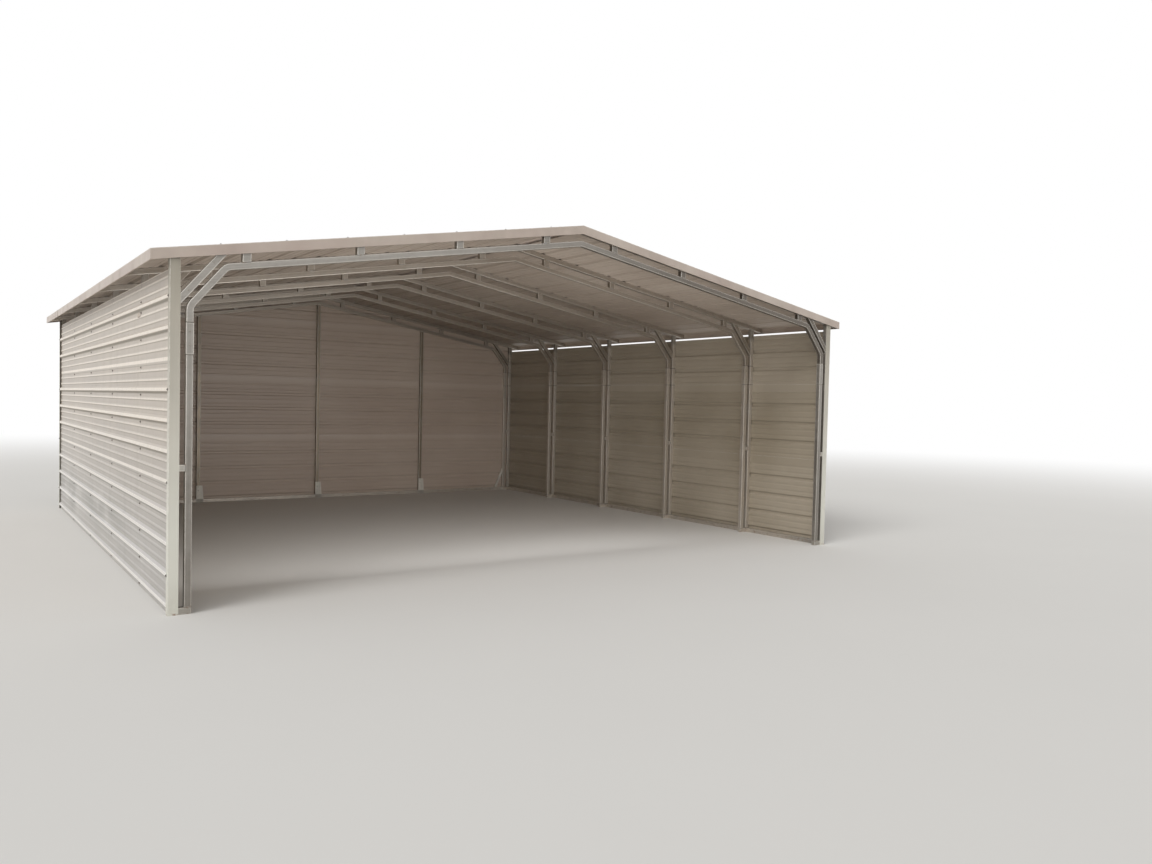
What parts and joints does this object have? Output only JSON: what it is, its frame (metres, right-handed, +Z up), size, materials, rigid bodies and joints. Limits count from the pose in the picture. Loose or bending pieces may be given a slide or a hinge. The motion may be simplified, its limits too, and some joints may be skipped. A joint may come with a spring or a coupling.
{
  "type": "carport",
  "caption": "Gable-roofed steel carport, open in front, with ribbed sheet on the roof and three walls over doubled square-tube frames.",
  "frame": {"origin": "on the floor, under the middle of the roof", "axes": "+X to the right seen from the open front, +Y from the open front to the closed back, +Z up"},
  "size_m": [7.5852, 7.668, 3.3262],
  "materials": {
    "galvanised_tube": "dull galvanised zinc",
    "painted_sheet": "satin beige paint on ribbed steel sheet",
    "painted_trim": "satin beige paint on folded steel trim"
  },
  "bodies": {
    "root": {"back_posts": "galvanised_tube", "base_rail_back": "galvanised_tube", "base_rail_left": "galvanised_tube", "base_rail_right": "galvanised_tube", "corner_braces": "galvanised_tube", "corner_trims_back": "painted_trim", "corner_trims_front": "painted_trim", "eave_trim_left": "painted_trim", "eave_trim_right": "painted_trim", "foot_tubes": "galvanised_tube", "inner_bow_1": "galvanised_tube", "inner_bow_2": "galvanised_tube", "inner_bow_3": "galvanised_tube", "inner_bow_4": "galvanised_tube", "inner_bow_5": "galvanised_tube", "inner_bow_6": "galvanised_tube", "inner_legs_left": "galvanised_tube", "inner_legs_right": "galvanised_tube", "knee_braces_left": "galvanised_tube", "knee_braces_right": "galvanised_tube", "leg_sleeves": "galvanised_tube", "leg_spacers": "galvanised_tube", "outer_legs_left": "galvanised_tube", "outer_legs_right": "galvanised_tube", "outer_rafters_left": "galvanised_tube", "outer_rafters_right": "galvanised_tube", "post_brackets": "galvanised_tube", "rafter_spacers_left": "galvanised_tube", "rafter_spacers_right": "galvanised_tube", "rake_trim_back_left": "painted_trim", "rake_trim_back_right": "painted_trim", "rake_trim_front_left": "painted_trim", "rake_trim_front_right": "painted_trim", "ridge_cap": "painted_trim", "roof_sheets_left": "painted_sheet", "roof_sheets_right": "painted_sheet", "wall_sheets_back": "painted_sheet", "wall_sheets_left": "painted_sheet", "wall_sheets_right": "painted_sheet"}
  },
  "joints": []
}
